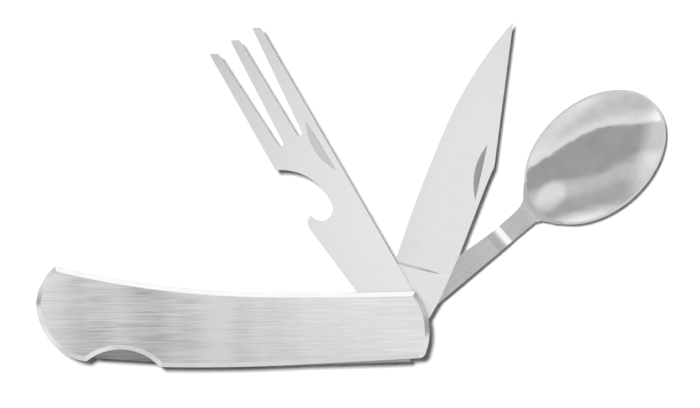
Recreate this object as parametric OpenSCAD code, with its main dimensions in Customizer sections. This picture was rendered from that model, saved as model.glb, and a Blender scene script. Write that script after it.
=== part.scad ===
// Folding camp cutlery: a fork with a bottle opener, a knife blade and a spoon on one pivot,
// in a riveted steel handle. The fork and the blade each have a rocking lock bar in the spine.
// The handle lies along -X from the pivot, +Y is the side the tools open from, and +Z is the
// front. The pivot's axis is the Z axis, and the back scale's outer face is z = 0.

/* [Opening angles] */
// Angle of the fork from its direction along the handle
fork_angle = 60; // [10:1:80]
// Angle of the blade from its direction along the handle
blade_angle = 110.6; // [90:1:120]
// Angle of the spoon's bowl from its direction along the handle
spoon_angle = 139.1; // [130:1:160]

/* [Plates] */
// Thickness of the front scale
front_scale_t = 2.2; // [2:0.1:3]
// Thickness of the back scale
back_scale_t = 2; // [1.5:0.1:2.5]
// Thickness of each liner
liner_t = 0.7; // [0.5:0.1:1]
// Width of the bevel round the scales
bevel_w = 1.6; // [1:0.1:2]
// Depth of the bevel round the scales
bevel_d = 1.3; // [0.8:0.1:1.5]

/* [Tools] */
// Thickness of the fork
fork_t = 1.5; // [1.2:0.1:1.8]
// Thickness of the blade at its tang
blade_t = 2.1; // [1.8:0.1:2.5]
// Thickness of the spoon's sheet
spoon_t = 1.3; // [1:0.1:1.5]
// Radius of each tool's round tang
tang_r = 8.6; // [8.4:0.1:8.6]
// Depth of the spoon's bowl, from its rim to its lowest outer point
bowl_depth = 6.9; // [6.5:0.1:8]

/* [Pins] */
// Radius of the main pivot pin
pivot_r = 2.5; // [2:0.1:3]
// Radius of the lock bar pin and the butt pin
pin_r = 1.5; // [1.2:0.1:1.8]
// Radius of the short rivet in the spoon's spring
rivet_r = 1.1; // [0.9:0.1:1.3]

/* [Hidden] */
$fn = 48;

// clearances
washer_t = 0.15;
side_gap = 0.05;
washer_r = 6;
run_gap = 0.04;
over = 1;                       // how far a cutter runs past what it cuts

// layers, from the back face up
spoon_layer = spoon_t + 2 * (washer_t + side_gap);
blade_layer = blade_t + 2 * (washer_t + side_gap);
fork_layer = fork_t + 2 * (washer_t + side_gap);
spoon_z = back_scale_t;
rear_liner_z = spoon_z + spoon_layer;
blade_z = rear_liner_z + liner_t;
front_liner_z = blade_z + blade_layer;
fork_z = front_liner_z + liner_t;
front_scale_z = fork_z + fork_layer;
front_z = front_scale_z + front_scale_t;
pin_top = front_scale_z + 0.6 * front_scale_t;   // the pins stop blind inside the front scale

// places of the pins
bar_pin = [-40, -10.2];
butt_pin_places = [[-119.6, 7], [-117.2, -2.5]];
rivet_place = [-22, -10.4];

// lock bars
bar_lift = 1.45;                // how far a half-open tool holds its lock bar up, in degrees
tooth_y = -7.65;                // the tooth's inner face when the bar is down
tooth_x = [-2.6, 2.4];
spacer_x = -115;                // where the butt spacers begin

// outline helpers

// centre of the circle through three points
function centre3(a, b, c) =
    let (d = 2 * (a.x * (b.y - c.y) + b.x * (c.y - a.y) + c.x * (a.y - b.y)),
        sa = a * a, sb = b * b, sc = c * c)
    [(sa * (b.y - c.y) + sb * (c.y - a.y) + sc * (a.y - b.y)) / d,
        (sa * (c.x - b.x) + sb * (a.x - c.x) + sc * (b.x - a.x)) / d];

// points on the arc from a through b to c, without c
function arc3(a, b, c, n = 12) =
    let (m = centre3(a, b, c), r = norm(a - m),
        t0 = atan2(a.y - m.y, a.x - m.x),
        tb = atan2(b.y - m.y, b.x - m.x) - t0,
        tc = atan2(c.y - m.y, c.x - m.x) - t0,
        up_b = tb < 0 ? tb + 360 : tb,
        up_c = tc < 0 ? tc + 360 : tc,
        sweep = up_b < up_c ? up_c : up_c - 360)
    [for (i = [0:n - 1]) m + r * [cos(t0 + sweep * i / n), sin(t0 + sweep * i / n)]];

// a closed outline, counterclockwise, moved inwards by w
function inset(p, w) =
    [for (i = [0:len(p) - 1])
        let (u = p[i] - p[(i + len(p) - 1) % len(p)], v = p[(i + 1) % len(p)] - p[i],
            nu = [-u.y, u.x] / norm(u), nv = [-v.y, v.x] / norm(v))
        p[i] + w * (nu + nv) / (1 + nu * nv)];

// the handle's outline, counterclockwise from the top corner at the pivot's end
handle_outline = concat(
    arc3([3.9, 11.5], [-20, 11], [-45, 11], 6),
    arc3([-45, 11], [-84, 13.6], [-118.2, 19.9], 14),
    arc3([-118.2, 19.9], [-122.6, 14.4], [-124.6, 7.6], 8),
    arc3([-124.6, 7.6], [-120.5, -4.6], [-110, -11.9], 14),
    arc3([-110, -11.9], [-97, -13.6], [-82.6, -14.2], 6),
    arc3([-82.6, -14.2], [-60, -14.25], [-32, -13.25], 10),
    arc3([-32, -13.25], [-14, -12.3], [5.2, -11.2], 5),
    arc3([5.2, -11.2], [6.8, -10.6], [7.6, -9.2], 4),
    arc3([7.6, -9.2], [8.8, -0.7], [3.9, 11.5], 12));

// the thumb notch in the spine, through which the lock bars are pressed
notch_place = [-96.1, -26.6];
notch_r = 18.3;

// how far the back scale reaches along the handle from the pivot's end, short of the folded bowl
back_end_x = -45.5;

// the triangles that close a flat face, zigzagging from one side of the outline to the other
function zigzag(k, n) = k % 2 == 0 ? k / 2 : n - (k + 1) / 2;
function cap(n, base, up) =
    [for (k = [0:n - 3])
        let (a = base + zigzag(k, n), b = base + zigzag(k + 1, n), c = base + zigzag(k + 2, n))
        (k % 2 == 0) == up ? [a, b, c] : [a, c, b]];

// A plate with the given outline and a bevelled upper edge.
module bevelled_plate(outline, t, w, d) {
    n = len(outline);
    low = [for (p = outline) [p.x, p.y, 0]];
    mid = [for (p = outline) [p.x, p.y, t - d]];
    top = [for (p = inset(outline, w)) [p.x, p.y, t]];
    sides = [for (k = [0, n], i = [0:n - 1])
        [k + i, k + n + i, k + n + (i + 1) % n, k + (i + 1) % n]];
    polyhedron(concat(low, mid, top), concat(cap(n, 0, false), sides, cap(n, 2 * n, true)));
}

module pin_hole(place, r) {
    translate([place.x, place.y, -over]) cylinder(r = r, h = 30);
}

module handle_holes() {
    pin_hole([0, 0], pivot_r);
    pin_hole(bar_pin, pin_r);
    for (p = butt_pin_places) pin_hole(p, pin_r);
}

// The thumb notch, to be cut from a plate of thickness t.
module thumb_notch(t) {
    translate([notch_place.x, notch_place.y, -over])
        cylinder(r = notch_r, h = t + 2 * over, $fn = 96);
}

// handle

module front_scale() {
    blind = pin_top - front_scale_z;
    color("silver") translate([0, 0, front_scale_z]) difference() {
        bevelled_plate(handle_outline, front_scale_t, bevel_w, bevel_d);
        thumb_notch(front_scale_t);
        translate([notch_place.x, notch_place.y, front_scale_t - bevel_d])
            cylinder(r1 = notch_r, r2 = notch_r + bevel_w * 1.5, h = bevel_d * 1.5, $fn = 96);
        intersection() {
            handle_holes();
            translate([-200, -50, -over]) cube([300, 100, over + blind]);
        }
    }
}

module liner(z) {
    color("gainsboro") translate([0, 0, z]) difference() {
        linear_extrude(liner_t) polygon(handle_outline);
        thumb_notch(liner_t);
        handle_holes();
    }
}

module front_liner() {
    liner(front_liner_z);
}

module rear_liner() {
    difference() {
        liner(rear_liner_z);
        pin_hole(rivet_place, rivet_r);
    }
}

// The back scale covers only the spoon's stem, because the bowl folds over the rest of the handle.
module back_scale() {
    back_outline = concat(
        arc3([3.9, 11.5], [-20, 11], [back_end_x, 11], 6),
        arc3([back_end_x, 11], [back_end_x - 3.6, -1.3], [back_end_x, -13.75], 14),
        arc3([back_end_x, -13.75], [-38, -13.5], [-32, -13.25], 3),
        arc3([-32, -13.25], [-14, -12.3], [5.2, -11.2], 5),
        arc3([5.2, -11.2], [6.8, -10.6], [7.6, -9.2], 4),
        arc3([7.6, -9.2], [8.8, -0.7], [3.9, 11.5], 12));
    color("silver") difference() {
        translate([0, 0, back_scale_t]) mirror([0, 0, 1])
            bevelled_plate(back_outline, back_scale_t, bevel_w * 0.75, bevel_d * 0.75);
        handle_holes();
        pin_hole(rivet_place, rivet_r);
    }
}

// A spacer that fills a tool's layer at the butt and grips the root of the lock spring.
module butt_spacer(z, t) {
    color("darkgray") translate([0, 0, z]) difference() {
        linear_extrude(t) intersection() {
            polygon(handle_outline);
            translate([-140, -8.5]) square([140 + spacer_x, 40]);
        }
        spring_leaf(-over, t + 2 * over);
        handle_holes();
    }
}

module fork_butt_spacer() {
    butt_spacer(fork_z, fork_layer);
}

module blade_butt_spacer() {
    butt_spacer(blade_z, blade_layer);
}

// lock bars and springs

// The lock bar as it lies when it is down, flush with the spine.
module bar_profile() {
    difference() {
        union() {
            intersection() {
                polygon(handle_outline);
                polygon([[tooth_x[1], -20], [tooth_x[1], tooth_y], [tooth_x[0], tooth_y],
                    [tooth_x[0] - 1.2, -9.0], [-34, -9.4], [-37, -7.4], [-43, -7.4], [-46, -8.6],
                    [-78, -8.4], [-109.6, -8], [-110.6, -9], [-110.6, -20]]);
            }
        }
        polygon([[-82, -20], [-82, -13.65], [-107, -12.75], [-107, -20]]);
    }
}

module lock_bar(z, t) {
    color("lightgray") translate([0, 0, z + side_gap]) translate(bar_pin) rotate(-bar_lift)
        translate(-bar_pin) difference() {
            linear_extrude(t - 2 * side_gap) bar_profile();
            pin_hole(bar_pin, pin_r + run_gap);
        }
}

module fork_lock_bar() {
    lock_bar(fork_z, fork_layer);
}

module blade_lock_bar() {
    lock_bar(blade_z, blade_layer);
}

// The leaf that pushes the back of a lock bar outwards, with its root inside the butt spacer.
module spring_leaf(z, t) {
    translate([0, 0, z]) linear_extrude(t)
        polygon([[-118.5, -5.9], [-115, -5.2], [-101, -4.3], [-88, -6.55],
            [-87.5, -5.9], [-101, -3.5], [-115, -4.4], [-118.5, -5.1]]);
}

module lock_spring(z, t) {
    color("slategray") spring_leaf(z + side_gap, t - 2 * side_gap);
}

module fork_lock_spring() {
    lock_spring(fork_z, fork_layer);
}

module blade_lock_spring() {
    lock_spring(blade_z, blade_layer);
}

// The spoon has a plain backspring, shown bent out by the half-open tang.
module spoon_backspring() {
    color("lightgray") translate([0, 0, spoon_z]) difference() {
        linear_extrude(spoon_layer)
            polygon([[2.4, -8.75], [-2.6, -8.75], [-4, -9.0], [-28, -8.6], [-35, -7.2],
                [-44.6, -7.2], [-44.9, -13.7], [-32, -13.2], [-20, -12.7], [-10, -12.5],
                [2.4, -12.2]]);
        handle_holes();
        pin_hole(rivet_place, rivet_r);
    }
}

// pins and washers

module pin(place, r, low, high) {
    color("whitesmoke") translate([place.x, place.y, low]) cylinder(r = r, h = high - low);
}

module pivot_pin() {
    pin([0, 0], pivot_r, 0, pin_top);
}

module lock_bar_pin() {
    pin(bar_pin, pin_r, 0, pin_top);
}

module upper_butt_pin() {
    pin(butt_pin_places[0], pin_r, rear_liner_z, pin_top);
}

module lower_butt_pin() {
    pin(butt_pin_places[1], pin_r, rear_liner_z, pin_top);
}

module spring_rivet() {
    pin(rivet_place, rivet_r, 0, blade_z);
}

// A thin washer between a tool's tang and the plate beside it.
module washer(z) {
    color("goldenrod") translate([0, 0, z]) difference() {
        cylinder(r = washer_r, h = washer_t);
        translate([0, 0, -over]) cylinder(r = pivot_r, h = washer_t + 2 * over);
    }
}

module fork_front_washer() {
    washer(front_scale_z - washer_t);
}

module fork_rear_washer() {
    washer(fork_z);
}

module blade_front_washer() {
    washer(front_liner_z - washer_t);
}

module blade_rear_washer() {
    washer(blade_z);
}

module spoon_front_washer() {
    washer(rear_liner_z - washer_t);
}

module spoon_rear_washer() {
    washer(spoon_z);
}

// tools

// Each tool is drawn with the pivot at the origin and its length along +X. The fork and the blade
// have their spine on the +Y side, and are mirrored into the handle.
module place_tool(angle, z, spine_up) {
    rotate(180 - angle) translate([0, 0, z + washer_t + side_gap])
        mirror([0, spine_up ? 1 : 0, 0]) children();
}

// The hole for the pivot, and the two flats in the round tang where the lock bar's tooth or the
// backspring settles when the tool is open and when it is folded.
module tang_cuts(t, open_direction, folded_direction) {
    depth = tang_r + tooth_y;
    translate([0, 0, -over]) cylinder(r = pivot_r + run_gap, h = t + 2 * over);
    rotate(open_direction + 90) translate([-2.8, -tang_r - 2 * over, -over])
        cube([5.6, 2 * over + depth, t + 2 * over]);
    rotate(folded_direction + 90) translate([-8, -tang_r - 2 * over, -over])
        cube([16, 2 * over + depth, t + 2 * over]);
}

// A nail nick in the face at z = t. Its deep straight side runs from a to b, and it gets
// shallower to the right of that line.
module nail_nick(a, b, t, width, depth) {
    chord = norm(b - a);
    r = (chord * chord / 4 + depth * depth) / (2 * depth);
    translate([(a.x + b.x) / 2, (a.y + b.y) / 2, t - depth])
        rotate(atan2(b.y - a.y, b.x - a.x)) rotate([90 - atan(depth / width), 0, 0])
            translate([0, r, 0]) cylinder(r = r, h = 2 * width, $fn = 96);
}

// the slots between the tines: the middle of each at its root and at the tips
slots = [[-5.4, -5.55], [1.9, 3.1]];
slot_root_x = 74;
slot_root_r = 0.9;
slot_tip_half = 2.97;

fork_outline = concat(
    [[0, -8.3], [17.4, -8.0], [44.9, -11.3], [46.4, -10.9], [47.5, -9.9]],
    arc3([47.9, -8.5], [44.2, -5.4], [47, -0.8], 12),       // the opener's hook
    arc3([47, -0.8], [58, -2.1], [67.2, -11.4], 16),        // and its wide mouth
    [[67.2, -11.4], [112.5, -11.1], [111, -8.5], [113.1, -2.6], [111.5, 0.1], [113.1, 6.1],
        [111.6, 8.5], [70, 8.6], [0, 8.6]]);

module fork() {
    color("lightgray") place_tool(fork_angle, fork_z, true) difference() {
        linear_extrude(fork_t) difference() {
            union() {
                circle(r = tang_r);
                polygon(fork_outline);
            }
            for (s = slots) {
                translate([slot_root_x, s[0]]) circle(r = slot_root_r);
                polygon([[slot_root_x, s[0] - slot_root_r], [115, s[1] - slot_tip_half],
                    [115, s[1] + slot_tip_half], [slot_root_x, s[0] + slot_root_r]]);
            }
        }
        tang_cuts(fork_t, 90, -96);
        nail_nick([56.7, 6.4], [76.6, 5.8], fork_t, 2.6, 0.5);
    }
}

edge_half = 0.12;               // half the blade's thickness at its edge
blade_outline = concat(
    [[0, -8.6], [18.6, -9.6], [18.9, -9.0], [19.6, -9.0]],
    arc3([20.4, -10.3], [44, -10.8], [67.4, -10.2], 10),
    arc3([67.4, -10.2], [90, -7.2], [109.4, -1.3], 14),
    [[109.4, -1.3], [61.3, 9.9], [54.7, 9.6], [28.5, 9.4], [12, 8.5], [5.2, 7.4]]);

module blade_blank() {
    linear_extrude(blade_t) union() {
        circle(r = tang_r);
        polygon(blade_outline);
    }
}

module knife_blade() {
    mid = blade_t / 2;
    slope = (mid - edge_half) / 20.7;
    color("gainsboro") place_tool(blade_angle, blade_z, true) difference() {
        union() {
            intersection() {
                blade_blank();
                translate([0, 0, -over]) linear_extrude(blade_t + 2 * over)
                    polygon([[-12, -14], [19.3, -14], [21.8, 12], [-12, 12]]);
            }
            // the part that is ground from the spine down to the edge and towards the point
            intersection() {
                blade_blank();
                translate([15, 0, 0]) rotate([90, 0, 90]) linear_extrude(100)
                    polygon([[-12, mid - edge_half + 1.2 * slope], [9.9, 0], [12, 0], [12, blade_t],
                        [9.9, blade_t], [-12, mid + edge_half - 1.2 * slope]]);
                rotate([90, 0, 0]) linear_extrude(40, center = true)
                    polygon([[0, 0], [60, 0], [112, 0.35 * blade_t], [112, 0.65 * blade_t],
                        [60, blade_t], [0, blade_t]]);
            }
        }
        tang_cuts(blade_t, 90, -97);
        nail_nick([48.3, 7.8], [69.4, 4.8], blade_t - 0.1, 3.2, 0.55);
    }
}

bowl_centre = [86.5, 0.5];
bowl_half = [27.3, 19];
rings = 9;
ring_points = 56;

function rim(half) =
    [for (i = [0:ring_points - 1]) let (t = 360 * i / ring_points)
        [half.x * cos(t), half.y * sin(t)]];

// one surface of the bowl: its middle, then its rings out to the rim
function bowl_skin(half, depth) =
    concat([[0, 0, -depth]],
        [for (k = [1:rings], p = rim(half)) let (s = k / rings)
            [p.x * s, p.y * s, -depth * (1 - pow(s, 2.6))]]);

module bowl() {
    n = ring_points;
    inner = bowl_skin(bowl_half - [spoon_t, spoon_t], bowl_depth - spoon_t);
    outer = bowl_skin(bowl_half, bowl_depth);
    m = len(inner);
    inner_faces = concat([for (i = [0:n - 1]) [0, 1 + (i + 1) % n, 1 + i]],
        [for (k = [0:rings - 2], i = [0:n - 1], half = [0, 1])
            let (a = 1 + k * n + i, b = 1 + k * n + (i + 1) % n)
            half == 0 ? [a, b, b + n] : [a, b + n, a + n]]);
    outer_faces = [for (f = inner_faces) [m + f[0], m + f[2], m + f[1]]];
    last = 1 + (rings - 1) * n;
    rim_faces = [for (i = [0:n - 1], half = [0, 1])
        let (a = last + i, b = last + (i + 1) % n)
        half == 0 ? [a, b, b + m] : [a, b + m, a + m]];
    polyhedron(concat(inner, outer), concat(inner_faces, outer_faces, rim_faces));
}

stem_outline = [[2, -tang_r + 0.3], [8.2, -2.2], [13.6, -2.3], [46.5, -2.8], [56.3, -2.9],
    [58.6, -3.7], [60.6, -5.4], [62, -7.3], [63.6, -10], [66, 0], [62.4, 9.3], [60.8, 7.2],
    [58.9, 5.4], [56.6, 4.5], [53, 4.1], [46.7, 4.1], [40.3, 4.4], [29.6, 5.4], [0, 8.2]];

module spoon() {
    color("lightgray") place_tool(spoon_angle, spoon_z, false) difference() {
        union() {
            translate([bowl_centre.x, bowl_centre.y, spoon_t]) bowl();
            linear_extrude(spoon_t) difference() {
                union() {
                    circle(r = tang_r);
                    polygon(stem_outline);
                }
                translate(bowl_centre) polygon(rim(bowl_half - [0.6, 0.6] * spoon_t));
            }
        }
        tang_cuts(spoon_t, -90, 90);
    }
}

front_scale();
front_liner();
rear_liner();
back_scale();
fork();
knife_blade();
spoon();
fork_lock_bar();
blade_lock_bar();
spoon_backspring();
fork_lock_spring();
blade_lock_spring();
fork_butt_spacer();
blade_butt_spacer();
pivot_pin();
lock_bar_pin();
upper_butt_pin();
lower_butt_pin();
spring_rivet();
fork_front_washer();
fork_rear_washer();
blade_front_washer();
blade_rear_washer();
spoon_front_washer();
spoon_rear_washer();
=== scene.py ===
import cmath
import math

import bmesh
import bpy
from mathutils import Matrix, Vector


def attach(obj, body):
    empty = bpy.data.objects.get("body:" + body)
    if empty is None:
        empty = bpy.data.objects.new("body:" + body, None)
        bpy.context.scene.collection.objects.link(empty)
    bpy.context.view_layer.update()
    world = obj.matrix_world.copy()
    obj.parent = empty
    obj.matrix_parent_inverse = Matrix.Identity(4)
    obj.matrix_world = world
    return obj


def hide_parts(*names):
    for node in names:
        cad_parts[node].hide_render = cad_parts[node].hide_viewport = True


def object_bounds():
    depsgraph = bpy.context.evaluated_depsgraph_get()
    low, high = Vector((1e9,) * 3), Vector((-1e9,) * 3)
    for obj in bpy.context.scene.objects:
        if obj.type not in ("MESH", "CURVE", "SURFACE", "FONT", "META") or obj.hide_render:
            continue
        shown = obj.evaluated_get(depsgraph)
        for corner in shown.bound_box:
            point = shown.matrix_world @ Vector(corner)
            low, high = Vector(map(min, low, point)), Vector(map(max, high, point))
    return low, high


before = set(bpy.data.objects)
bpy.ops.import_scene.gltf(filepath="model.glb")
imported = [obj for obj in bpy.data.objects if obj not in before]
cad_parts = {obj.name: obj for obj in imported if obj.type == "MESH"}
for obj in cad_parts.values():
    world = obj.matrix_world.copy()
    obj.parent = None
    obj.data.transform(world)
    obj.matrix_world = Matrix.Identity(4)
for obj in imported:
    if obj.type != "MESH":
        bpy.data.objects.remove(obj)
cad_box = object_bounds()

# ---- Back scale ----
# The plate on the back of the handle, pressed from stainless sheet, brushed along its length and
# bevelled all round. It is short, because the spoon's bowl folds over the rest of the back, and
# relieved inside its end, where the neck of the spoon sweeps over it.


class Value:
    """A number on a socket of a finish, so that a pattern can be written as a sum."""

    def __init__(self, finish, socket):
        self.finish, self.socket = finish, socket

    def maths(self, operation, *numbers):
        return self.finish.add("Math", {"operation": operation}, dict(enumerate(numbers)))

    def __add__(self, other):
        return self.maths("ADD", self, other)

    def __sub__(self, other):
        return self.maths("SUBTRACT", self, other)

    def __rsub__(self, other):
        return self.maths("SUBTRACT", other, self)

    def __mul__(self, other):
        return self.maths("MULTIPLY", self, other)

    __radd__, __rmul__ = __add__, __mul__


class Nodes:
    """The nodes of a finish or of the light round the set, added one line at a time."""

    def __init__(self, owner):
        owner.use_nodes = True
        self.tree = owner.node_tree

    def add(self, kind, settings=None, sockets=None, take=0):
        node = self.tree.nodes.new("ShaderNode" + kind)
        for name, value in (settings or {}).items():
            setattr(node, name, value)
        for name, value in (sockets or {}).items():
            if isinstance(value, Value):
                self.tree.links.new(value.socket, node.inputs[name])
            else:
                node.inputs[name].default_value = value
        return Value(self, node.outputs[take])

    def feed(self, node, name, value):
        self.tree.links.new(value.socket, self.tree.nodes[node].inputs[name])


class Finish(Nodes):
    """A metal finish. Its patterns lie on the piece's own coordinates, turned with the piece."""

    def __init__(self, name, turn=0.0):
        self.material = bpy.data.materials.new(name)
        super().__init__(self.material)
        self.tree.nodes["Principled BSDF"].inputs["Metallic"].default_value = 1.0
        place = self.add("TexCoord", take="Object")
        self.place = self.add("Mapping", {}, {"Vector": place, "Rotation": (0, 0, -turn)})

    def noise(self, grain, detail=3.0, rough=0.55):
        """Noise whose grains are 1 / grain metres long on each axis."""
        laid = self.add("VectorMath", {"operation": "MULTIPLY"}, {0: self.place, 1: grain})
        return self.add("TexNoise", {}, {"Vector": laid, "Scale": 1.0, "Detail": detail, "Roughness": rough})

    def dress(self, dark, light, amount, rough, height, depth):
        """Lays the colour, the roughness and the relief of a pattern on the metal."""
        mixed = self.add("Mix", {"data_type": "RGBA"}, {0: amount, 6: (*dark, 1), 7: (*light, 1)}, take=2)
        self.feed("Principled BSDF", "Base Color", mixed)
        self.feed("Principled BSDF", "Roughness", rough)
        bent = self.add("Bump", {}, {"Height": height, "Distance": depth})
        self.feed("Principled BSDF", "Normal", bent)
        return self.material


def brushed(name, dark, light, low=0.26, high=0.42, turn=0.0, depth=1.1e-5):
    """Steel brushed along the handle, or along a line turned from it. Its colour and roughness carry the
    brush lines and broad bands of painted reflected light across them.
    """
    steel = Finish(name, turn)
    lines = steel.noise((60, 2000, 2000), 5.0, 0.68)
    fine = steel.noise((220, 5200, 5200), 2.0)
    # broad bands across the brushing are painted reflection: lighter and darker bands in the colour that
    # stand in for the bands of light a brushed plate reflects; they are not in the relief
    broad = steel.noise((38, 7, 7), 2.0)
    # the colour mixes the real brush lines with the painted light bands
    streaks_and_light_bands = (lines + broad * 0.8 - 0.9) * 3.2 + 0.5
    return steel.dress(dark, light, streaks_and_light_bands, streaks_and_light_bands * (high - low) + low, lines + fine * 0.4, depth)


def polished(name, grey, low=0.12, high=0.2, waves=6e-6, dulled=0.93):
    """Steel buffed on a wheel, with the faint haze that handling leaves."""
    steel = Finish(name)
    haze = (steel.noise((160, 160, 160), 5.0) - 0.5) * 1.8 + 0.5
    dull = [part * dulled for part in grey]
    return steel.dress(dull, grey, haze, haze * (high - low) + low, steel.noise((110, 110, 110), 2.0), waves)


def draw(bm, start, *strokes):
    """Draws a closed outline and fills it. A stroke is a corner, or (through, end, steps) for an arc."""
    pen = bm.verts.new((*start, 0))
    for stroke in strokes:
        if len(stroke) == 2:
            pen = bmesh.ops.extrude_vert_indiv(bm, verts=[pen])["verts"][0]
            pen.co = (*stroke, 0)
            continue
        a, b, c = complex(*pen.co.xy), complex(*stroke[0]), complex(*stroke[1])
        w = (c - a) / (b - a)
        centre = a + (b - a) * (w - abs(w) ** 2) / (w - w.conjugate())
        to_b, to_c = (cmath.phase((p - centre) / (a - centre)) % math.tau for p in (b, c))
        sweep = to_c if to_b < to_c else to_c - math.tau
        spun = bmesh.ops.spin(
            bm, geom=[pen], cent=(centre.real, centre.imag, 0), axis=(0, 0, 1), angle=sweep, steps=stroke[2])
        pen = next(part for part in spun["geom_last"] if isinstance(part, bmesh.types.BMVert))
    bmesh.ops.remove_doubles(bm, verts=bm.verts, dist=0.02)
    face = bmesh.ops.contextual_create(bm, geom=bm.edges[:])["faces"][0]
    if face.normal.z < 0:
        face.normal_flip()
    return face


def raise_plate(bm, faces, thickness):
    """Gives flat faces their thickness, and returns the upper ones."""
    made = bmesh.ops.extrude_face_region(bm, geom=faces)["geom"]
    bmesh.ops.reverse_faces(bm, faces=faces)
    raised = [part for part in made if isinstance(part, bmesh.types.BMVert)]
    bmesh.ops.translate(bm, verts=raised, vec=(0, 0, thickness))
    return [part for part in made if isinstance(part, bmesh.types.BMFace)]


def make_piece(bm, name, materials, place=Matrix()):
    """Turns a mesh drawn in millimetres into a piece in its place."""
    bmesh.ops.transform(bm, matrix=Matrix.Scale(0.001, 4) @ place, verts=bm.verts)
    bmesh.ops.recalc_face_normals(bm, faces=bm.faces)
    for face in bm.faces:
        face.smooth = True
    mesh = bpy.data.meshes.new(name)
    bm.to_mesh(mesh)
    bm.free()
    for material in materials:
        mesh.materials.append(material)
    piece = bpy.data.objects.new(name, mesh)
    bpy.context.collection.objects.link(piece)
    return piece


SHARP_FROM = math.radians(24)


def round_edges(piece, radius):
    """Breaks the sharp edges of a piece by this many millimetres, and keeps its flats flat."""
    if radius:
        edge = piece.modifiers.new("broken edge", "BEVEL")
        edge.width, edge.segments = radius / 1000, 3
        edge.limit_method, edge.angle_limit = "ANGLE", SHARP_FROM
    flats = piece.modifiers.new("flats", "WEIGHTED_NORMAL")
    flats.weight, flats.keep_sharp = 80, True


def cut_away(piece, tool):
    """Cuts a solid away from a piece and throws the solid away."""
    step = piece.modifiers.new("cut", "BOOLEAN")
    step.operation, step.object, step.solver = "DIFFERENCE", tool, "EXACT"
    bpy.context.view_layer.update()
    shaped = piece.evaluated_get(bpy.context.evaluated_depsgraph_get())
    mesh = bpy.data.meshes.new_from_object(shaped)
    piece.modifiers.clear()
    piece.data = mesh
    bpy.data.objects.remove(tool)


def drill(piece, place, radius):
    """Drills a round hole right through a piece."""
    hole_bm = bmesh.new()
    bmesh.ops.create_cone(
        hole_bm, cap_ends=True, segments=max(48, round(radius * 4)), radius1=radius, radius2=radius, depth=40,
        matrix=Matrix.Translation((*place, 0)))
    cut_away(piece, make_piece(hole_bm, "drill", []))


BACK_T, BEVEL_W, BEVEL_D, BACK_BEVEL = 2.0, 1.6, 1.3, 0.75
RELIEF_Z, RELIEF_R = 1.06, 42.8
PIVOT_R, BAR_PIN_R, RIVET_R, PIN_GAP = 2.5, 1.5, 1.1, 0.03
BACK_PINS = (((0, 0), PIVOT_R), ((-40, -10.2), BAR_PIN_R), ((-22, -10.4), RIVET_R))
BROKEN_EDGE = 0.15

back_bm = bmesh.new()
back_face = draw(
    back_bm, (3.9, 11.5), ((-20, 11), (-45.5, 11), 14), ((-49.1, -1.3), (-45.5, -13.75), 28),
    ((-38, -13.5), (-32, -13.25), 6), ((-14, -12.3), (5.2, -11.2), 10), ((6.8, -10.6), (7.6, -9.2), 6),
    ((8.8, -0.7), (3.9, 11.5), 24))
back_top = raise_plate(back_bm, [back_face], BACK_T - BACK_BEVEL * BEVEL_D)
back_bevel = bmesh.ops.inset_region(
    back_bm, faces=back_top, thickness=BACK_BEVEL * BEVEL_W, depth=BACK_BEVEL * BEVEL_D, use_even_offset=True)
for face in back_bevel["faces"]:
    face.material_index = 1
handle_steel = brushed("handle_brushed", (0.49, 0.49, 0.495), (0.69, 0.69, 0.695))
bevel_steel = polished("bevel_polished", (0.78, 0.78, 0.785))
back = make_piece(
    back_bm, "back_plate", [handle_steel, bevel_steel],
    Matrix.Translation((0, 0, BACK_T)) @ Matrix.Scale(-1, 4, (0, 0, 1)))
round_edges(back, BROKEN_EDGE)
relief_bm = bmesh.new()
bmesh.ops.create_cube(
    relief_bm, size=1, matrix=Matrix.Translation((-55, 15, RELIEF_Z + 2)) @ Matrix.Diagonal((40, 40, 4, 1)))
relief = make_piece(relief_bm, "relief", [])
drill(relief, (0, 0), RELIEF_R)
cut_away(back, relief)
for place, radius in BACK_PINS:
    drill(back, place, radius + PIN_GAP)
round_edges(back, 0)
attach(back, "handle")
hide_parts("back_scale")

# ---- Spoon ----
# One blank of 1.3 mm stainless sheet: a round tang on the pivot, a straight stem with a crease
# before the neck, and a deep bowl pressed into its end. The bowl is buffed to a mirror.

SPOON_Z, SPOON_T, SPOON_ANGLE = 2.2, 1.3, 139.1
BOWL_AT, BOWL_HALF, BOWL_DEPTH = (86.5, 0.5), (27.3, 19.0), 6.9
RUN_GAP = 0.04
spoon_place = Matrix.Rotation(math.radians(180 - SPOON_ANGLE), 4, "Z") @ Matrix.Translation((0, 0, SPOON_Z))

# each row across the stem and the tang: how far along, its two sides, and how far it is set down
STEM_STATIONS = (
    (56.3, -2.9, 4.5, -0.5), (53, -2.85, 4.1, -0.74), (50, -2.82, 4.1, -0.92), (48, -2.8, 4.1, -1.02),
    (46.8, -2.8, 4.1, -1.06), (46.5, -2.8, 4.1, -1.02), (45.9, -2.79, 4.12, -0.78),
    (45.2, -2.79, 4.15, -0.53), (44.3, -2.78, 4.2, -0.29), (43.3, -2.76, 4.23, -0.12),
    (42.2, -2.73, 4.3, -0.03), (41, -2.7, 4.35, 0), (35, -2.6, 4.9, 0), (29.6, -2.55, 5.4, 0),
    (20, -2.4, 6.3, 0), (13.6, -2.3, 6.91, 0), (8.31, -2.21, 7.41, 0), (7.8, -3.62, 7.46, 0),
    (6.6, -5.51, 7.58, 0), (5.0, -7.0, 7.65, 0), (2.8, -8.131, 7.65, 0), (2.75, -7.65, 7.65, 0),
    (-2.75, -7.65, 7.65, 0), (-2.8, -8.131, 7.65, 0), (-3.93, -7.65, 7.65, 0), (-5.6, -6.53, 6.53, 0),
    (-7.2, -4.7, 4.7, 0), (-8.2, -2.59, 2.59, 0), (-8.6, -0.6, 0.6, 0))
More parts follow.
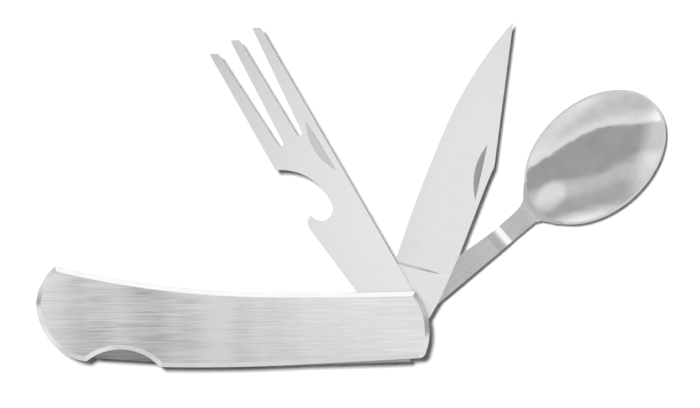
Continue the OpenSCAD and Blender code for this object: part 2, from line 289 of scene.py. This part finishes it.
# the two ends of each row where the neck widens into the bowl, and the width of the ground rim
FLARE = (((61.5, -7.8), (61.7, 9.0)), ((59.8, -5.5), (60.0, 7.2)), ((58.4, -3.8), (58.6, 5.5)))
RIM_W = 0.8
BOWL_RINGS, BOWL_CURVE, SPOON_EDGE = 16, 2.6, 0.55
BOWL_PART, STEM_PART, RIM_PART, BEND_PART = range(4)
BEND_FROM, BEND_TO = 40.5, 46.5
NECK_LOW, NECK_HIGH = -9.7, 9.9

spoon_bm = bmesh.new()
bmesh.ops.create_circle(spoon_bm, cap_ends=True, segments=112, radius=1)
middle = spoon_bm.faces[:][0]
ring = bmesh.ops.inset_region(
    spoon_bm, faces=[middle], thickness=RIM_W / BOWL_HALF[1], use_even_offset=True, use_boundary=True)
for face in ring["faces"]:
    face.material_index = RIM_PART
bowl_from = 1 - RIM_W / BOWL_HALF[1]
for ring in range(BOWL_RINGS - 1):
    bmesh.ops.inset_region(spoon_bm, faces=[middle], thickness=bowl_from / BOWL_RINGS, use_even_offset=True)
bmesh.ops.poke(spoon_bm, faces=[middle])
for vert in spoon_bm.verts:
    out = min(vert.co.xy.length / bowl_from, 1)
    on_edge = vert.co.xy.length > 0.98
    half = BOWL_HALF if on_edge else [side - RIM_W for side in BOWL_HALF]
    reach = max(vert.co.xy.length / (1 if on_edge else bowl_from), 1e-9)
    flat = vert.co.xy.normalized() * reach
    sunk = (BOWL_DEPTH - SPOON_T) * (1 - out ** BOWL_CURVE)
    vert.co = (BOWL_AT[0] + half[0] * flat.x, BOWL_AT[1] + half[1] * flat.y, -sunk)

neck = [edge for edge in spoon_bm.edges if edge.is_boundary and all(
    vert.co.x < BOWL_AT[0] and NECK_LOW < vert.co.y < NECK_HIGH for vert in edge.verts)]
for edge in neck:
    edge.link_faces[0].material_index = STEM_PART
row = sorted({vert for edge in neck for vert in edge.verts}, key=lambda vert: vert.co.y)
across = [at / (len(row) - 1) for at in range(len(row))]


def rim_x(y):
    """Where the outer edge of the bowl's rim lies on its neck side."""
    return BOWL_AT[0] - BOWL_HALF[0] * math.sqrt(1 - ((y - BOWL_AT[1]) / BOWL_HALF[1]) ** 2)


def station(number):
    """The places of one row of points across the neck, the stem or the tang."""
    if number >= len(FLARE):
        along, low, high, drop = STEM_STATIONS[number - len(FLARE)]
        return [Vector((along, low + (high - low) * part, drop)) for part in across]
    places = []
    (low_x, low_y), (high_x, high_y) = FLARE[number]
    low_gap, high_gap = rim_x(low_y) - low_x, rim_x(high_y) - high_x
    for part in across:
        y = low_y + (high_y - low_y) * part
        places.append(Vector((rim_x(y) - low_gap - (high_gap - low_gap) * part, y, 0)))
    return places


for number in range(len(FLARE) + len(STEM_STATIONS)):
    made = bmesh.ops.extrude_edge_only(spoon_bm, edges=neck)["geom"]
    bend = number >= len(FLARE) and BEND_FROM <= STEM_STATIONS[number - len(FLARE)][0] < BEND_TO
    for part in made:
        if isinstance(part, bmesh.types.BMFace):
            part.material_index = BEND_PART if bend else STEM_PART
    row = sorted((part for part in made if isinstance(part, bmesh.types.BMVert)), key=lambda vert: vert.co.y)
    neck = [part for part in made
            if isinstance(part, bmesh.types.BMEdge) and all(vert in row for vert in part.verts)]
    for vert, place in zip(row, station(number)):
        vert.co = place
stem_turn = math.radians(180 - SPOON_ANGLE)
bowl_steel = polished("bowl_mirror", (0.78, 0.78, 0.785), 0.05, 0.13, 1.4e-4, 0.84)
# The steel of the spoon's stem, rim and crease is painted light: near white, far lighter than the same
# stainless of the fork and blade, since the disc lamps light those and not the spoon.
stem_painted_light_steel = brushed("stem_satin_painted_light", (0.90, 0.90, 0.905), (1.0, 1.0, 1.0), 0.24, 0.34, stem_turn, 6e-6)
bend_painted_light_steel = polished("bend_burnished_painted_light", (1.0, 1.0, 1.0), 0.1, 0.18)
rim_painted_light_steel = brushed("rim_ground_painted_light", (0.94, 0.94, 0.94), (1.0, 1.0, 1.0), 0.5, 0.6, 0, 6e-6)
spoon = make_piece(
    spoon_bm, "spoon_blank", [bowl_steel, stem_painted_light_steel, rim_painted_light_steel, bend_painted_light_steel],
    spoon_place @ Matrix.Translation((0, 0, SPOON_T)))
if sum(face.normal.z for face in spoon.data.polygons) < 0:
    spoon.data.flip_normals()
sheet = spoon.modifiers.new("sheet", "SOLIDIFY")
sheet.thickness, sheet.offset = SPOON_T / 1000, -1
round_edges(spoon, SPOON_EDGE)
drill(spoon, (0, 0), PIVOT_R + RUN_GAP)
round_edges(spoon, 0)
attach(spoon, "spoon")
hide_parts("spoon")

# ---- Rear and front liners ----
# Two thin ground steel sheets of the handle's outline that part the three tools. Each is drilled
# for the pins and has the thumb notch.


def finish_nodes(material, *names):
    """Gives carried-over nodes their finish."""
    for name in names:
        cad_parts[name].data.materials.clear()
        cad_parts[name].data.materials.append(material)


liner_steel = brushed("liner_ground", (0.52, 0.52, 0.53), (0.64, 0.64, 0.65), 0.3, 0.45)
finish_nodes(liner_steel, "rear_liner", "front_liner")

# ---- Blade ----
# A spear-ended blade of 2.1 mm stainless, ground flat from the spine to the edge behind a short
# unground heel. A long nail nick is milled into its upper face.


def mill_nick(piece, start, end, top, width, depth, place):
    """Mills a nail nick whose deep straight side runs from start to end, in the face at height top."""
    chord = math.dist(start, end)
    radius = (chord ** 2 / 4 + depth ** 2) / (2 * depth)
    middle = [(a + b) / 2 for a, b in zip(start, end)]
    nick_bm = bmesh.new()
    bmesh.ops.create_cone(
        nick_bm, cap_ends=True, segments=256, radius1=radius, radius2=radius, depth=2 * width)
    # The cutter's faces become the walls of the nick, on the piece's second material, which is painted dark:
    # painted shade in the nick's hollow.
    for face in nick_bm.faces:
        face.material_index = 1
    cutter = (
        Matrix.Translation((*middle, top - depth))
        @ Matrix.Rotation(math.atan2(end[1] - start[1], end[0] - start[0]), 4, "Z")
        @ Matrix.Rotation(math.pi / 2 - math.atan2(depth, width), 4, "X")
        @ Matrix.Translation((0, radius, width)))
    cut_away(piece, make_piece(nick_bm, "nick", [], place @ cutter))


BLADE_Z, BLADE_T, BLADE_ANGLE, EDGE_HALF = 4.6, 2.1, 110.6, 0.12
PLUNGE_AT, PLUNGE_LEAN, EDGE_SIDE, GRIND_W = 19.5, 0.096, 10.8, 20.7
POINT_TAPER, TAPER_FROM, TAPER_L = 0.65, 60, 52
blade_place = (
    Matrix.Rotation(math.radians(180 - BLADE_ANGLE), 4, "Z")
    @ Matrix.Translation((0, 0, BLADE_Z)) @ Matrix.Scale(-1, 4, (0, 1, 0)))

blade_bm = bmesh.new()
draw(
    blade_bm, (-2.8, 8.131), ((-8.6, 0), (-4.833, -7.114), 24), (7.008, -8.568), (6.958, -8.974),
    (18.6, -9.6), (18.9, -9.0), (19.6, -9.0), (20.4, -10.3), ((44, -10.8), (67.4, -10.2), 20),
    ((90, -7.2), (109.4, -1.3), 28), (61.3, 9.9), (54.7, 9.6), (28.5, 9.4), (12, 8.5), (5.2, 7.4),
    (5.056, 6.957), ((4.05, 7.587), (2.8, 8.131), 4), (2.8, 7.65), (-2.8, 7.65), (-2.8, 8.131))
cuts = [((PLUNGE_AT + step * 0.2, 0, 0), (1, -PLUNGE_LEAN, 0)) for step in range(6)]
cuts += [((along, 0, 0), (1, 0, 0)) for along in range(25, 110, 4)]
cuts += [((0, across, 0), (0, 1, 0)) for across in (-9, -6.5, -4, -1.5, 1, 3.5, 6, 8.5)]
for point, normal in cuts:
    blank = blade_bm.verts[:] + blade_bm.edges[:] + blade_bm.faces[:]
    bmesh.ops.bisect_plane(blade_bm, geom=blank, plane_co=point, plane_no=normal)
raise_plate(blade_bm, blade_bm.faces[:], BLADE_T)
for vert in blade_bm.verts:
    along, across = vert.co.xy
    ground = min(max(along - PLUNGE_AT - across * PLUNGE_LEAN, 0), 1)
    ground = ground * ground * (3 - 2 * ground)
    grind = EDGE_HALF + (BLADE_T / 2 - EDGE_HALF) * min(max((across + EDGE_SIDE) / GRIND_W, 0), 1)
    grind *= 1 - POINT_TAPER * max(along - TAPER_FROM, 0) / TAPER_L
    half = BLADE_T / 2 + (grind - BLADE_T / 2) * ground
    vert.co.z = BLADE_T / 2 + (half if vert.co.z > 1 else -half)
blade_steel = brushed(
    "blade_satin", (0.54, 0.54, 0.545), (0.59, 0.59, 0.595), 0.28, 0.4, math.radians(90 - BLADE_ANGLE), 5e-6)
# Painted shade: the nick's steel is coloured far darker than the blade's, for the shade in the hollow of the
# nick.
nick_shade_steel = polished("nick_painted_shade", (0.24, 0.24, 0.25), 0.16, 0.26)
blade = make_piece(blade_bm, "blade", [blade_steel, nick_shade_steel], blade_place)
mill_nick(blade, (48.3, 7.8), (69.4, 4.8), BLADE_T - 0.1, 3.2, 0.55, blade_place)
drill(blade, (0, 0), PIVOT_R + RUN_GAP)
blade.data.set_sharp_from_angle(angle=SHARP_FROM)
round_edges(blade, 0)
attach(blade, "blade")
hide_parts("knife_blade")

# ---- Fork ----
# A fork of 1.5 mm stainless with three tines and a bottle opener punched in its side. Its edges
# are only broken, and a nail nick is milled into its upper face.

FORK_Z, FORK_T, FORK_ANGLE, FORK_EDGE = 7.8, 1.5, 60, 0.2
TIPS_FROM, TIP_ROUND = 110, 0.55
fork_place = (
    Matrix.Rotation(math.radians(180 - FORK_ANGLE), 4, "Z")
    @ Matrix.Translation((0, 0, FORK_Z)) @ Matrix.Scale(-1, 4, (0, 1, 0)))

fork_bm = bmesh.new()
draw(
    fork_bm, (-2.8, 8.131), ((-8.6, 0), (-4.71, -7.197), 24), (4.97, -8.214), (17.4, -8.0), (44.9, -11.3),
    (46.4, -10.9), (47.5, -9.9), (47.9, -8.5), ((44.2, -5.4), (47, -0.8), 24),
    ((58, -2.1), (67.2, -11.4), 32), (112.5, -11.1), (111.05, -8.3), (74, -6.3),
    ((73.1, -5.4), (74, -4.5), 10), (113.0, -2.67), (111.6, 0.2), (74, 1.0), ((73.1, 1.9), (74, 2.8), 10),
    (113.0, 5.91), (111.6, 8.5), (70, 8.6), (2.8, 8.6), (2.8, 7.65), (-2.8, 7.65), (-2.8, 8.131))
tine_tips = [vert for vert in fork_bm.verts if vert.co.x > TIPS_FROM]
bmesh.ops.bevel(
    fork_bm, geom=tine_tips, offset=TIP_ROUND, segments=4, affect="VERTICES", profile=0.5, material=-1)
raise_plate(fork_bm, fork_bm.faces[:], FORK_T)
fork_steel = brushed(
    "fork_satin", (0.57, 0.57, 0.575), (0.65, 0.65, 0.655), 0.3, 0.42, math.radians(90 - FORK_ANGLE), 5e-6)
# Painted shade: the fork's nick is coloured darker than the fork's steel, for the shade in its hollow.
fork_nick_shade_steel = polished("fork_nick_painted_shade", (0.40, 0.40, 0.405), 0.16, 0.26)
fork = make_piece(fork_bm, "fork_blank", [fork_steel, fork_nick_shade_steel], fork_place)
mill_nick(fork, (56.7, 6.4), (76.6, 5.8), FORK_T, 2.6, 0.5, fork_place)
drill(fork, (0, 0), PIVOT_R + RUN_GAP)
round_edges(fork, FORK_EDGE)
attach(fork, "fork")
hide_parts("fork")

# ---- Lock bars, springs and spacers ----
# Two rocking bars in the spine lock the fork and the blade, each pushed by a thin leaf that is
# rooted in a spacer at the butt. The spoon has a plain backspring. All are tempered strip.

# The bars, springs and spacers are painted dark, far darker than the other steel: painted shade where the
# lock bars show in the thumb notch and under the front scale's edge.
spring_shade_steel = brushed("spring_painted_shade", (0.22, 0.22, 0.23), (0.32, 0.32, 0.33), 0.28, 0.42)
finish_nodes(
    spring_shade_steel, "fork_lock_bar", "blade_lock_bar", "spoon_backspring", "fork_lock_spring",
    "blade_lock_spring", "fork_butt_spacer", "blade_butt_spacer")

# ---- Front scale ----
# The thick plate on the front of the handle, brushed along its length, with a broad polished
# bevel that also runs round the thumb notch. The pins stop blind inside it, so none shows.

FRONT_Z, FRONT_T = 9.5, 2.2

front_bm = bmesh.new()
front_face = draw(
    front_bm, (3.9, 11.5), ((-20, 11), (-45, 11), 12), ((-84, 13.6), (-118.2, 19.9), 28),
    ((-122.6, 14.4), (-124.6, 7.6), 16), ((-120.5, -4.6), (-110, -11.9), 28),
    ((-108.8, -12.1), (-107.53, -12.309), 2), ((-96.1, -8.3), (-82.64, -14.2), 32),
    ((-60, -14.25), (-32, -13.25), 20), ((-14, -12.3), (5.2, -11.2), 10),
    ((6.8, -10.6), (7.6, -9.2), 8), ((8.8, -0.7), (3.9, 11.5), 24))
front_top = raise_plate(front_bm, [front_face], FRONT_T - BEVEL_D)
front_bevel = bmesh.ops.inset_region(
    front_bm, faces=front_top, thickness=BEVEL_W, depth=BEVEL_D, use_even_offset=True)
for face in front_bevel["faces"]:
    face.material_index = 1
front = make_piece(front_bm, "front_plate", [handle_steel, bevel_steel], Matrix.Translation((0, 0, FRONT_Z)))
round_edges(front, BROKEN_EDGE)
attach(front, "handle")
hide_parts("front_scale")

# ---- Pins ----
# Five steel pins hold the plates together: the main pivot, the lock bars' pin, two at the butt
# and a short rivet through the spoon's spring. Their ends are ground flush with the back.

pin_steel = polished("pin_ground", (0.72, 0.72, 0.73), 0.2, 0.32)
finish_nodes(pin_steel, "pivot_pin", "lock_bar_pin", "upper_butt_pin", "lower_butt_pin", "spring_rivet")

# ---- Washers ----
# Six thin brass shims on the pivot, one on each side of every tang, so that steel doesn't rub on
# steel. They are punched from sheet and dull at their edges.

brass = Finish("washer_brass")
tarnish = brass.noise((500, 500, 500), 3.0)
washer_brass = brass.dress(
    (0.55, 0.40, 0.17), (0.78, 0.62, 0.32), tarnish, tarnish * 0.2 + 0.3, tarnish, 1e-5)
finish_nodes(
    washer_brass, "fork_front_washer", "fork_rear_washer", "blade_front_washer", "blade_rear_washer",
    "spoon_front_washer", "spoon_rear_washer")

# ---- Table ----
# A plain white table that the set lies on, at the height of the bowl's lowest point. It runs far
# past the view on every side.

TABLE_HALF = 3000

table_bm = bmesh.new()
bmesh.ops.create_grid(table_bm, x_segments=8, y_segments=8, size=TABLE_HALF)
table_paint = bpy.data.materials.new("table_white")
table_paint.use_nodes = True
paint = table_paint.node_tree.nodes["Principled BSDF"].inputs
paint["Base Color"].default_value = (0.9, 0.9, 0.9, 1)
paint["Roughness"].default_value = 0.8
table = make_piece(table_bm, "table", [table_paint], Matrix.Translation((0, 0, cad_box[0].z * 1000)))

# ---- Light ----
# A pale room, dark straight overhead and bright at the top of the table, that the bowl mirrors. Two
# disc lamps shine on the satin flats, and a far lamp gives the table short shadows but no glare.

room = bpy.data.worlds.new("room")
bpy.context.scene.world = room
sky = Nodes(room)
direction = sky.add("TexCoord", take="Generated")
x, y, z = (sky.add("SeparateXYZ", {}, {0: direction}, take=axis) for axis in "XYZ")


def ease(value, low, high):
    """A soft step from 0 to 1 as value goes from low to high."""
    return sky.add("MapRange", {"interpolation_type": "SMOOTHSTEP"}, {0: value, 1: low, 2: high, 3: 0, 4: 1})


over = y + 0.42 * z
front_half = 0.74 + 0.25 * ease(over, -0.35, -0.05) + 0.12 * ease(y, -0.7, -0.95)
back_half = 0.45 + 0.24 * ease(y, 0.12, 0.3) - 0.16 * ease(y, 0.4, 0.62) + 0.75 * ease(y, 0.75, 0.95)
edge = ease(over, -0.02, 0.05)
window = sky.add("VectorMath", {"operation": "DOT_PRODUCT"}, {0: direction, 1: (0.50, 0.43, 0.752)}, take=1)
glow = front_half + (back_half - front_half) * edge + 0.31 * ease(window, 0.94, 0.985)
glow = glow + 0.35 * ease(x, -0.5, -0.8) - 0.28 * ease(x, -0.86, -0.96) + 0.2 * ease(x - y, 1.0, 1.3)
ROOM_LIGHT, ROOM_SEEN = 0.05, 0.92
lit = sky.add("Mix", {}, {0: sky.add("LightPath", take="Is Diffuse Ray"), 2: glow, 3: ROOM_LIGHT})
seen = sky.add("Mix", {}, {0: sky.add("LightPath", take="Is Camera Ray"), 2: lit, 3: ROOM_SEEN})
sky.feed("Background", "Color", seen)


def lamp(name, kind, energy, place, target=(0, 0, 0), **settings):
    """A lamp aimed at a place on the set, hidden from the camera."""
    light = bpy.data.lights.new(name, kind)
    light.energy = energy
    for setting, value in settings.items():
        setattr(light, setting, value)
    holder = bpy.data.objects.new(name, light)
    bpy.context.collection.objects.link(holder)
    holder.location = place
    holder.rotation_euler = (Vector(target) - Vector(place)).to_track_quat("-Z", "Y").to_euler()
    holder.visible_camera = False
    return holder


overhead = lamp("overhead", "SUN", 3.6, (-0.15, 0.15, 1.2), angle=math.radians(8))
overhead.visible_glossy = False
disc = lamp("disc", "AREA", 0.15, (0.04, 0.05, 0.26), (0.04, 0.05, 0), shape="DISK", size=0.24)
butt_disc = lamp("butt_disc", "AREA", 0.012, (-0.145, 0.01, 0.12), (-0.15, 0.01, 0), shape="DISK", size=0.08)
lit_by_disc = bpy.data.collections.new("lit_by_disc")
for piece in (front, back, blade, fork, *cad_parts.values()):
    lit_by_disc.objects.link(piece)
for small_lamp in (disc, butt_disc):
    small_lamp.light_linking.receiver_collection = lit_by_disc

# ---- Camera ----
# A long lens straight above the set, square to the handle's face, so that every layer of the fan
# is seen in plan.

camera = bpy.data.objects.new("camera", bpy.data.cameras.new("camera"))
bpy.context.collection.objects.link(camera)
camera.data.lens, camera.data.sensor_width = 600, 36
camera.data.clip_end = 50
camera.location = (-0.01815, 0.04106, 3.966)
bpy.context.scene.camera = camera
bpy.context.scene.view_settings.view_transform = "Standard"
